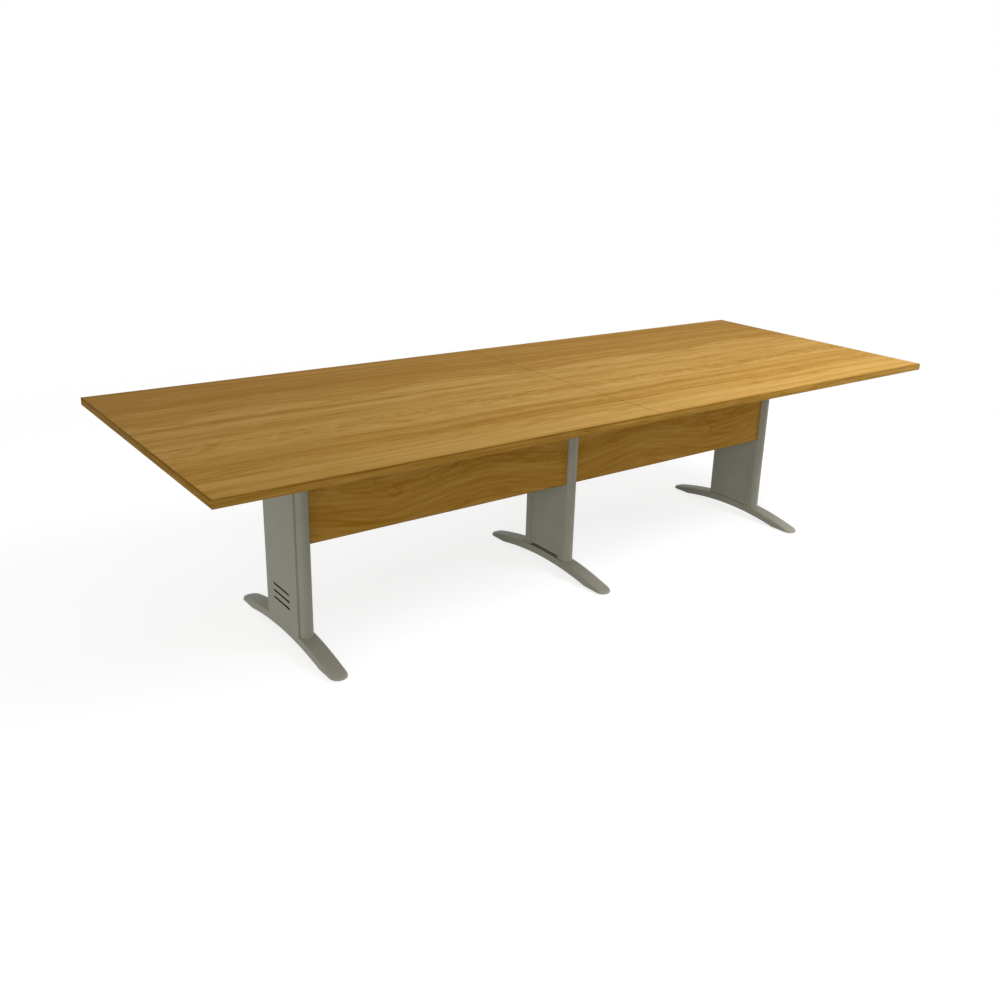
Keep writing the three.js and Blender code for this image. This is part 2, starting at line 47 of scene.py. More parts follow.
# Camera: it stands off the table's front left corner, a little above head height, and looks down
# along the table. It leans slightly to one side, as the picture does.
camera_place = Vector((-2.2975, -2.7788, 1.6043))
camera_yaw, camera_pitch, camera_lean = 0.680399, 0.335893, -0.040437
forward = Vector((math.sin(camera_yaw), math.cos(camera_yaw), 0.0)) * math.cos(camera_pitch)
forward.z = -math.sin(camera_pitch)
sideways = Vector((math.cos(camera_yaw), -math.sin(camera_yaw), 0.0))
downwards = forward.cross(sideways)
picture_right = math.cos(camera_lean) * sideways + math.sin(camera_lean) * downwards
picture_down = math.cos(camera_lean) * downwards - math.sin(camera_lean) * sideways
camera = bpy.data.objects.new("camera", bpy.data.cameras.new("camera"))
camera.data.sensor_width = 36.0
camera.data.lens = 36.277
camera.data.shift_x = -0.0414
camera.data.shift_y = -0.0218
camera.matrix_world = Matrix.Translation(camera_place) @ Matrix(
    (picture_right, -picture_down, -forward)
).transposed().to_4x4()
scene.collection.objects.link(camera)
scene.camera = camera

# Studio light: a soft lamp high over the right half, weaker ones at the front, left and right, and a
# dim even surround. The surround is white where the camera or a reflection looks straight at it.


def soft_lamp(name, place, aim, size, power, colour):
    lamp = bpy.data.lights.new(name, "AREA")
    lamp.shape = "DISK"
    lamp.size = size
    lamp.energy = power
    lamp.color = colour
    holder = bpy.data.objects.new(name, lamp)
    holder.location = place
    holder.rotation_euler = (Vector(aim) - Vector(place)).to_track_quat("-Z", "Y").to_euler()
    holder.visible_camera = False
    scene.collection.objects.link(holder)


soft_lamp("key_lamp", (1.5, -1.7, 2.7), (0.9, -0.3, 0.7), 1.6, 82, (1.0, 1.0, 1.1))
soft_lamp("front_lamp", (-3.0, -5.0, 2.0), (0.0, 0.0, 0.4), 2.4, 47, (1.0, 0.98, 0.88))
soft_lamp("left_lamp", (-7.0, -2.0, 1.2), (-0.4, 0.0, 0.4), 2.3, 118, (1.0, 1.0, 1.0))
soft_lamp("right_lamp", (4.5, -1.8, 0.55), (0.0, -0.1, 0.45), 0.9, 40, (1.0, 0.98, 0.90))

pure_white = (1.0, 1.0, 1.0, 1.0)
surround = bpy.data.worlds.new("surround")
surround.use_nodes = True
scene.world = surround
surround_nodes = surround.node_tree.nodes
surround_links = surround.node_tree.links
surround_dim = surround_nodes["Background"]
surround_dim.inputs["Color"].default_value = pure_white
surround_dim.inputs["Strength"].default_value = 0.42
surround_white = surround_nodes.new("ShaderNodeBackground")
surround_white.inputs["Color"].default_value = pure_white
surround_white.inputs["Strength"].default_value = 1.0
surround_mix = surround_nodes.new("ShaderNodeMixShader")
surround_ray = surround_nodes.new("ShaderNodeLightPath")
seen_directly = surround_ray.outputs["Is Camera Ray"]
for kind in ("Is Glossy Ray", "Is Transmission Ray"):
    either = surround_nodes.new("ShaderNodeMath")
    surround_links.new(seen_directly, either.inputs[0])
    surround_links.new(surround_ray.outputs[kind], either.inputs[1])
    seen_directly = either.outputs["Value"]
surround_links.new(seen_directly, surround_mix.inputs["Fac"])
surround_links.new(surround_dim.outputs["Background"], surround_mix.inputs[1])
surround_links.new(surround_white.outputs["Background"], surround_mix.inputs[2])
surround_links.new(
    surround_mix.outputs["Shader"], surround_nodes["World Output"].inputs["Surface"]
)


# Floor: a plain pale studio floor. It keeps a soft shadow near the table and fades to the white of
# the surround further out.


class Shade:
    """A socket of a finish. Sums on it add Math nodes, and make() adds any other node."""

    def __init__(self, socket):
        self.socket = socket
        self.tree = socket.id_data

    def make(self, kind, settings, sockets, output=0):
        node = self.tree.nodes.new(kind)
        for name, value in settings.items():
            if name == "stops":
                stops = node.color_ramp.elements
                stops[0].position, stops[-1].position = value[0][0], value[-1][0]
                for position, _ in value[1:-1]:
                    stops.new(position)
                for stop, (_, colour) in zip(stops, value):
                    stop.color = (*colour, 1.0)
            else:
                setattr(node, name, value)
        for name, value in sockets.items():
            if isinstance(value, Shade):
                self.tree.links.new(value.socket, node.inputs[name])
            else:
                node.inputs[name].default_value = value
        return Shade(node.outputs[output])

    def sum_of(self, operation, *values):
        return self.make("ShaderNodeMath", {"operation": operation}, dict(enumerate(values)))

    def __add__(self, other):
        return self.sum_of("ADD", self, other)

    def __radd__(self, other):
        return self.sum_of("ADD", other, self)

    def __sub__(self, other):
        return self.sum_of("SUBTRACT", self, other)

    def __rsub__(self, other):
        return self.sum_of("SUBTRACT", other, self)

    def __mul__(self, other):
        return self.sum_of("MULTIPLY", self, other)

    def __rmul__(self, other):
        return self.sum_of("MULTIPLY", other, self)

    def __pow__(self, other):
        return self.sum_of("POWER", self, other)

    def between(self, low, high, first=0.0, last=1.0):
        """Eases from first to last as this value goes from low to high."""
        return self.make(
            "ShaderNodeMapRange",
            {"interpolation_type": "SMOOTHSTEP"},
            {"Value": self, "From Min": low, "From Max": high, "To Min": first, "To Max": last},
        )


def new_finish(name):
    """A material, its Principled shader, and the piece's own coordinates in metres."""
    material = bpy.data.materials.new(name)
    material.use_nodes = True
    tree = material.node_tree
    coordinates = tree.nodes.new("ShaderNodeTexCoord")
    return material, tree.nodes["Principled BSDF"], Shade(coordinates.outputs["Object"])


floor_half_size, floor_drop = 40.0, 0.0005
fade_start, fade_end = 2.4, 4.2
floor_glow = 0.78
floor_material, floor_paint, floor_point = new_finish("studio_floor")
floor_paint.inputs["Base Color"].default_value = (0.38, 0.38, 0.38, 1.0)
floor_paint.inputs["Roughness"].default_value = 0.9
floor_paint.inputs["Specular IOR Level"].default_value = 0.0
floor_ray = floor_material.node_tree.nodes.new("ShaderNodeLightPath")
seen = Shade(floor_ray.outputs["Is Camera Ray"]) + Shade(floor_ray.outputs["Is Glossy Ray"])
seen = seen + Shade(floor_ray.outputs["Is Transmission Ray"])
distance = floor_point.make("ShaderNodeVectorMath", {"operation": "LENGTH"}, {0: floor_point}, 1)
far_off = distance.between(fade_start, fade_end)
glow = seen.make("ShaderNodeEmission", {}, {"Color": pure_white, "Strength": seen * floor_glow})
white = seen.make("ShaderNodeEmission", {}, {"Color": pure_white, "Strength": seen})
near_floor = seen.make(
    "ShaderNodeAddShader", {}, {0: Shade(floor_paint.outputs["BSDF"]), 1: glow}
)
whole_floor = seen.make("ShaderNodeMixShader", {}, {0: far_off, 1: near_floor, 2: white})
floor_material.node_tree.links.new(
    whole_floor.socket, floor_material.node_tree.nodes["Material Output"].inputs["Surface"]
)
floor_shape = bmesh.new()
bmesh.ops.create_grid(floor_shape, x_segments=1, y_segments=1, size=floor_half_size)
bmesh.ops.translate(floor_shape, verts=floor_shape.verts, vec=(0.0, 0.0, -floor_drop))
floor_mesh = bpy.data.meshes.new("floor")
floor_shape.to_mesh(floor_mesh)
floor_shape.free()
floor_mesh.materials.append(floor_material)
floor = bpy.data.objects.new("floor", floor_mesh)
scene.collection.objects.link(floor)


# Feet: one long arched shell under each leg, pressed from steel sheet and open underneath. Its edges
# are tight under the leg and softer towards the round toes, and it is powder coated warm grey.
leg_places = {"left": -1.07, "middle": 0.0, "right": 1.07}
fit = 0.0003
foot_length, foot_width, foot_sheet = 0.700, 0.058, 0.0025
foot_crown, foot_nose, foot_rim = 0.0555, 0.0106, 0.005
arch_half_span, arch_rise = 0.251, 0.024
leg_depth = 0.264
glide_place, nut_radius = 0.288, 0.0075
round_middle, round_toe, round_share = 0.002, 0.008, 0.8
edge_steps, toe_segments, side_cuts = 8, 98, 80


def arc_drop(half_span, rise, distance):
    radius = (half_span**2 + rise**2) / (2 * rise)
    return radius - math.sqrt(radius**2 - distance**2)


def foot_top(y):
    return foot_crown - arc_drop(foot_length / 2, foot_crown - foot_nose, y)


def foot_lower_edge(y):
    if abs(y) >= arch_half_span:
        return foot_rim
    return foot_rim + arch_rise - arc_drop(arch_half_span, arch_rise, y)


def foot_edge_round(y):
    toe_start = (foot_length - foot_width) / 2
    share = min(max((abs(y) - leg_depth / 2) / (toe_start - leg_depth / 2), 0.0), 1.0)
    wanted = round_middle + (round_toe - round_middle) * share * share * (3 - 2 * share)
    return min(wanted, round_share * (foot_top(y) - foot_rim))


def powder_coat():
    material, paint, point = new_finish("grey_powder_coat")
    grit = point.make("ShaderNodeTexNoise", {}, {"Vector": point, "Scale": 900.0, "Detail": 2.0})
    cloud = point.make("ShaderNodeTexNoise", {}, {"Vector": point, "Scale": 14.0, "Detail": 4.0})
    tone = cloud * 0.7 + grit * 0.3
    colour = tone.make(
        "ShaderNodeValToRGB",
        {"stops": [(0.3, (0.262, 0.257, 0.200)), (0.7, (0.302, 0.297, 0.234))]},
        {"Fac": tone},
    )
    relief = grit.make(
        "ShaderNodeBump", {}, {"Strength": 0.25, "Distance": 0.0002, "Height": grit}
    )
    links = material.node_tree.links
    paint.inputs["Specular IOR Level"].default_value = 0.3
    links.new(colour.socket, paint.inputs["Base Color"])
    links.new((0.42 + cloud * 0.12).socket, paint.inputs["Roughness"])
    links.new(relief.socket, paint.inputs["Normal"])
    return material


def smooth_faces(shape, sharp_angle=math.radians(32)):
    for face in shape.faces:
        face.smooth = True
    for edge in shape.edges:
        edge.smooth = len(edge.link_faces) == 2 and edge.calc_face_angle() < sharp_angle


def place_piece(shape, name, material, slot, body, *nodes):
    """Writes a finished shape as one piece that stands for these nodes and rides with their body."""
    mesh = bpy.data.meshes.new(name)
    shape.to_mesh(mesh)
    shape.free()
    mesh.materials.append(material)
    piece = bpy.data.objects.new(name, mesh)
    scene.collection.objects.link(piece)
    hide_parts(*nodes)
    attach(piece, body)
    return piece


def foot_shell():
    shape = bmesh.new()
    toe_radius = foot_width / 2
    toe_middle = foot_length / 2 - toe_radius
    bmesh.ops.create_circle(shape, segments=toe_segments, radius=toe_radius)
    plan = shape.verts.layers.float_vector.new("plan")
    outward = shape.verts.layers.float_vector.new("outward")
    for vert in shape.verts:
        vert[outward] = vert.co.normalized()
        vert.co.y += math.copysign(toe_middle, vert.co.y)
    sides = [edge for edge in shape.edges if edge.calc_length() > toe_radius]
    bmesh.ops.subdivide_edges(shape, edges=sides, cuts=side_cuts)
    for vert in shape.verts:
        vert[plan] = vert.co
        if abs(vert.co.y) < toe_middle:
            vert[outward] = (math.copysign(1.0, vert.co.x), 0.0, 0.0)
        vert.co.z = foot_lower_edge(vert.co.y)
    ring = shape.edges[:]
    for step in range(edge_steps + 1):
        turn = step / edge_steps * math.pi / 2
        raised = bmesh.ops.extrude_edge_only(shape, edges=ring)["geom"]
        ring = [item for item in raised if isinstance(item, bmesh.types.BMEdge)]
        upper = [item for item in raised if isinstance(item, bmesh.types.BMVert)]
        for vert in upper:
            edge_round = foot_edge_round(vert[plan].y)
            drawn_in = edge_round * (1 - math.cos(turn))
            vert.co = vert[plan] - vert[outward] * drawn_in
            vert.co.z = foot_top(vert.co.y) - edge_round * (1 - math.sin(turn))
    upper.sort(key=lambda vert: vert.co.y)
    pairs = [[upper[0]], *zip(upper[1:-2:2], upper[2:-1:2]), [upper[-1]]]
    for near, far in zip(pairs, pairs[1:]):
        near = sorted(near, key=lambda vert: vert.co.x)
        far = sorted(far, key=lambda vert: -vert.co.x)
        shape.faces.new([*near, *far])
    for layer in ("plan", "outward"):
        shape.verts.layers.float_vector.remove(shape.verts.layers.float_vector[layer])
    bmesh.ops.recalc_face_normals(shape, faces=shape.faces)
    if max(shape.faces, key=lambda face: face.calc_center_median().z).normal.z < 0:
        bmesh.ops.reverse_faces(shape, faces=shape.faces)
    return shape


painted = powder_coat()
for leg, leg_x in leg_places.items():
    shell = foot_shell()
    bmesh.ops.translate(shell, verts=shell.verts, vec=(leg_x, 0.0, 0.0))
    smooth_faces(shell)
    foot = place_piece(
        shell, f"{leg}_pressed_foot", painted, "painted_steel", "table_frame", f"{leg}_foot"
    )
    thickness = foot.modifiers.new("sheet", "SOLIDIFY")
    thickness.thickness = foot_sheet
    thickness.offset = -1.0

# Weld nuts: plain hexagon steel nuts welded up inside the toes, coated together with the foot. The
# glides' studs turn in them.
nut_low, nut_bore_top, nut_wall = 0.0083, 0.0197, 0.0020
for leg, leg_x in leg_places.items():
    for end, end_y in (("front", -glide_place), ("rear", glide_place)):
        nut_high = foot_top(glide_place + nut_radius) - foot_sheet
        nut = bmesh.new()
        bmesh.ops.create_cone(
            nut,
            cap_ends=True,
            segments=6,
            radius1=nut_radius,
            radius2=nut_radius,
            depth=nut_high - nut_low,
            matrix=Matrix.Translation((leg_x, end_y, (nut_high + nut_low) / 2)),
        )
        lower_face = min(nut.faces, key=lambda face: face.calc_center_median().z)
        bmesh.ops.inset_region(nut, faces=[lower_face], thickness=nut_wall)
        sunk = bmesh.ops.extrude_discrete_faces(nut, faces=[lower_face])["faces"][0]
        bmesh.ops.translate(nut, verts=sunk.verts, vec=(0.0, 0.0, nut_bore_top - nut_low))
        place_piece(
            nut, f"{leg}_weld_nut_{end}", painted, "painted_steel", "table_frame", f"{leg}_foot"
        )


# Levelling glides: moulded black plastic discs on zinc plated studs. They screw in and out of the
# weld nuts to level the table.
def moulded_plastic():
    material, paint, point = new_finish("black_moulded_plastic")
    grain = point.make("ShaderNodeTexNoise", {}, {"Vector": point, "Scale": 1400.0, "Detail": 2.0})
    wear = point.make("ShaderNodeTexNoise", {}, {"Vector": point, "Scale": 60.0, "Detail": 4.0})
    colour = wear.make(
        "ShaderNodeValToRGB",
        {"stops": [(0.35, (0.014, 0.014, 0.015)), (0.75, (0.03, 0.03, 0.031))]},
        {"Fac": wear},
    )
    relief = grain.make(
        "ShaderNodeBump", {}, {"Strength": 0.3, "Distance": 0.0002, "Height": grain}
    )
    links = material.node_tree.links
    links.new(colour.socket, paint.inputs["Base Color"])
    links.new((0.5 + wear * 0.2).socket, paint.inputs["Roughness"])
    links.new(relief.socket, paint.inputs["Normal"])
    return material


def zinc_plate():
    material, paint, point = new_finish("zinc_plate")
    cloud = point.make("ShaderNodeTexNoise", {}, {"Vector": point, "Scale": 400.0, "Detail": 3.0})
    colour = cloud.make(
        "ShaderNodeValToRGB",
        {"stops": [(0.35, (0.46, 0.46, 0.45)), (0.65, (0.66, 0.66, 0.64))]},
        {"Fac": cloud},
    )
    links = material.node_tree.links
    paint.inputs["Metallic"].default_value = 1.0
    links.new(colour.socket, paint.inputs["Base Color"])
    links.new((0.26 + cloud * 0.2).socket, paint.inputs["Roughness"])
    return material


def turned_piece(profile, steps):
    """A piece turned about Z from its radii and heights."""
    shape = bmesh.new()
    verts = [shape.verts.new((radius, 0.0, height)) for radius, height in profile]
    edges = [shape.edges.new(pair) for pair in zip(verts, verts[1:])]
    bmesh.ops.spin(
        shape,
        geom=verts + edges,
        cent=(0.0, 0.0, 0.0),
        axis=(0.0, 0.0, 1.0),
        angle=2 * math.pi,
        steps=steps,
        use_merge=True,
    )
    bmesh.ops.remove_doubles(shape, verts=shape.verts, dist=1e-6)
    bmesh.ops.recalc_face_normals(shape, faces=shape.faces)
    return shape


black_plastic = moulded_plastic()
zinc = zinc_plate()
stud_low, stud_radius, stud_top = 0.0078, 0.0040, nut_bore_top - fit
pad_profile = [
    (0.0, 0.0),
    (0.0132, 0.0),
    (0.0142, 0.0003),
    (0.0148, 0.0010),
    (0.0150, 0.0018),
    (0.0150, 0.0036),
    (0.0146, 0.0043),
    (0.0138, 0.0047),
    (0.0080, 0.0076),
    (0.0072, 0.0080),
    (0.0, 0.0080),
]
stud_chamfer = 0.0012
stud_profile = [
    (0.0, stud_low),
    (stud_radius, stud_low),
    (stud_radius, stud_top - stud_chamfer),
    (stud_radius - stud_chamfer, stud_top),
    (0.0, stud_top),
]
for leg, leg_x in leg_places.items():
    for end, end_y in (("front", -glide_place), ("rear", glide_place)):
        node = f"{leg}_levelling_glide_{end}"
        body = f"{leg}_glide_{end}"
        pad = turned_piece(pad_profile, 48)
        stud = turned_piece(stud_profile, 24)
        for shape in (pad, stud):
            bmesh.ops.translate(shape, verts=shape.verts, vec=(leg_x, end_y, 0.0))
            smooth_faces(shape)
        place_piece(pad, f"{node}_pad", black_plastic, "glide_plastic", body, node)
        place_piece(stud, f"{node}_stud", zinc, "zinc_steel", body, node)


# Columns: two steel tubes on each foot, rolled with a half-round nose outwards and a flat back towards
# the raceway. Their lower ends are trimmed to the foot's crown and welded there.
column_width, column_depth, column_wall = 0.046, 0.050, 0.002
column_high, column_corner = 0.6847, 0.0005


def column_tube(facing):
    middle = facing * (leg_depth / 2 - column_depth / 2)
    shape = bmesh.new()
    bmesh.ops.create_cube(shape, size=1.0)
    bmesh.ops.scale(shape, verts=shape.verts, vec=(column_width, column_depth, column_high))
    bmesh.ops.translate(shape, verts=shape.verts, vec=(0.0, middle, column_high / 2))
    upright = [
        edge
        for edge in shape.edges
        if abs(edge.verts[0].co.z - edge.verts[1].co.z) > column_high / 2
    ]
    outer = [edge for edge in upright if abs(edge.verts[0].co.y) > abs(middle)]
    inner = [edge for edge in upright if edge not in outer]
    bmesh.ops.bevel(
        shape,
        geom=outer,
        offset=column_width / 2 - 1e-5,
        affect="EDGES",
        segments=24,
        profile=0.5,
        material=-1,
    )
    inner = [edge for edge in inner if edge.is_valid]
    bmesh.ops.bevel(
        shape,
        geom=inner,
        offset=column_corner,
        affect="EDGES",
        segments=4,
        profile=0.5,
        material=-1,
    )
    bmesh.ops.remove_doubles(shape, verts=shape.verts, dist=5e-5)
    ends = [face for face in shape.faces if abs(face.normal.z) > 0.9]
    bmesh.ops.delete(shape, geom=ends, context="FACES")
    for vert in shape.verts:
        if vert.co.z < column_high / 2:
            vert.co.z = foot_top(vert.co.y) + fit
    bmesh.ops.recalc_face_normals(shape, faces=shape.faces)
    return shape


for leg, leg_x in leg_places.items():
    for end, facing in (("front", -1), ("rear", 1)):
        tube = column_tube(facing)
        bmesh.ops.translate(tube, verts=tube.verts, vec=(leg_x, 0.0, 0.0))
        smooth_faces(tube)
        column = place_piece(
            tube,
            f"{leg}_rolled_column_{end}",
            painted,
            "painted_steel",
            "table_frame",
            f"{leg}_column_{end}",
        )
        thickness = column.modifiers.new("wall", "SOLIDIFY")
        thickness.thickness = column_wall
        thickness.offset = -1.0

# Web panels: flat steel sheets welded between the two columns of a leg, flush with their inner side.
# They stop short of the rail for cables, and the middle one stops short of its foot too.
for leg in leg_places:
    web_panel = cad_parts[f"{leg}_web_panel"]
    web_panel.data.materials.clear()
    web_panel.data.materials.append(painted)


# Raceway covers: folded steel trays that close the legs' cable ways and pull off sideways. The outer
# ones lap over the columns and have three vent slots, and the middle one lies flush in between.
def finished_copy(node):
    """The node's solid with its facets merged, so that its folds shade smoothly."""
    shape = bmesh.new()
    shape.from_mesh(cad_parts[node].data)
    bmesh.ops.remove_doubles(shape, verts=shape.verts, dist=1e-5)
    smooth_faces(shape)
    return shape


for leg in leg_places:
    node = f"{leg}_raceway_cover"
    cover = finished_copy(node)
    place_piece(cover, f"{leg}_folded_cover", painted, "painted_steel", f"{leg}_cover", node)

# Top rails: steel channels folded open side down, welded across the columns' upper ends. The top is
# screwed down on them from below.
for leg in leg_places:
    node = f"{leg}_top_rail"
    rail = finished_copy(node)
    place_piece(rail, f"{leg}_folded_rail", painted, "painted_steel", "table_frame", node)

# Lugs: small steel angles welded on the front columns, behind the ends of the modesty boards. They
# are powder coated together with the legs, and one screw through each holds a board.
for bay in ("left", "right"):
    for end in ("a", "b"):
        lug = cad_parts[f"modesty_lug_{bay}_{end}"]
        lug.data.materials.clear()
        lug.data.materials.append(painted)


# Screws: zinc plated pan-head screws with a cross recess, four up through each rail into the top and
# one through each lug into a modesty board.
screw_radius, head_radius, head_height = 0.0025, 0.005, 0.003
rail_screw_length, lug_screw_length = 0.020, 0.015
recess_reach, recess_half_width, recess_depth = 0.0018, 0.0005, 0.0016


def pan_head_screw(length):
    """A screw that points up, with the seat of its head at the origin."""
    profile = [
        (0.0, -head_height),
        (0.0030, -head_height),
        (0.0042, -0.0025),
        (0.0048, -0.0017),
        (head_radius, -0.0009),
        (head_radius, 0.0),
        (screw_radius, 0.0),
        (screw_radius, length - screw_radius),
        (0.0, length),
    ]
    shape = turned_piece(profile, 24)
    crown_level = 1e-6 - head_height
    crown = [face for face in shape.faces if face.calc_center_median().z < crown_level]
    bmesh.ops.dissolve_faces(shape, faces=crown)
    for axis in (0, 1):
        for offset in (-recess_reach, -recess_half_width, recess_half_width, recess_reach):
            crown = [face for face in shape.faces if face.calc_center_median().z < crown_level]
            geom = crown + list({edge for face in crown for edge in face.edges})
            geom += list({vert for face in crown for vert in face.verts})
            across = Vector((axis == 0, axis == 1, 0.0))
            bmesh.ops.bisect_plane(
                shape,
                geom=geom,
                plane_co=across * offset + Vector((0.0, 0.0, -head_height)),
                plane_no=across,
            )
    recess = []
    for face in shape.faces:
        middle = face.calc_center_median()
        narrow, wide = sorted((abs(middle.x), abs(middle.y)))
        if middle.z < crown_level and narrow < recess_half_width and wide < recess_reach:
            recess.append(face)
    sunk = bmesh.ops.extrude_face_region(shape, geom=recess)["geom"]
    sunk_verts = [item for item in sunk if isinstance(item, bmesh.types.BMVert)]
    bmesh.ops.delete(shape, geom=recess, context="FACES")
    bmesh.ops.translate(shape, verts=sunk_verts, vec=(0.0, 0.0, recess_depth))
    bmesh.ops.recalc_face_normals(shape, faces=shape.faces)
    return shape


for leg, leg_x in leg_places.items():
    for number in range(1, 5):
        node = f"{leg}_rail_screw_{number}"
        low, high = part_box(node)
        screw = pan_head_screw(rail_screw_length)
        place = Vector(((low.x + high.x) / 2, (low.y + high.y) / 2, low.z + head_height))
        bmesh.ops.translate(screw, verts=screw.verts, vec=place)
        smooth_faces(screw)
        place_piece(screw, f"{node}_pan_head", zinc, "zinc_steel", "table_frame", node)
for bay in ("left", "right"):
    for end in ("a", "b"):
        node = f"modesty_screw_{bay}_{end}"
        low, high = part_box(node)
        screw = pan_head_screw(lug_screw_length)
        bmesh.ops.rotate(
            screw, verts=screw.verts, cent=(0, 0, 0), matrix=Matrix.Rotation(math.pi / 2, 3, "X")
        )
        place = Vector(((low.x + high.x) / 2, high.y - head_height, (low.z + high.z) / 2))
        bmesh.ops.translate(screw, verts=screw.verts, vec=place)
        smooth_faces(screw)
        place_piece(screw, f"{node}_pan_head", zinc, "zinc_steel", "table_frame", node)


# Top boards: two halves of particle board faced with satin oak-look laminate, its grain along the
# table. They meet in a fine seam over the middle leg, and the print runs on across it.
# Print bands across the grain, from the front edge (0) to the rear edge (1). The last three are also
# set lower as painted shade on the rear of the top and of the seam strips.
oak_bands_and_painted_rear_shade = [
    (0.0, 1.0), (0.07, 1.15), (0.2, 0.94), (0.32, 1.08), (0.4, 1.0), (0.53, 1.1), (0.7, 0.91),
    (0.85, 0.79), (1.0, 0.84),
]
oak_colours = (0.326, 0.155, 0.014), (0.406, 0.221, 0.037), (0.492, 0.289, 0.070)
print_length, print_width = 0.75, 1.1
eye_place, dash_place, line_place, fleck_place = 0.13, 0.084, -0.035, -0.145
arch_place, crown_place, chevron_place = -0.15, -0.16, -0.325
arch_rows = ((0.0, 0.05), (0.22, 0.036), (0.5, 0.03))
middle_tone, brow_height = 0.51, 0.003
figure_strength = {
    "eye": 0.10, "flecks": 0.9, "stripes": 0.8, "streaks": 0.65, "short_grain": 0.42, "fibre": 0.48,
    "rim": 0.09, "dashes": 0.36, "line": 0.18, "chevrons": 0.18, "pores": 0.14, "ticks": 0.22,
    "brow": 0.22,
}


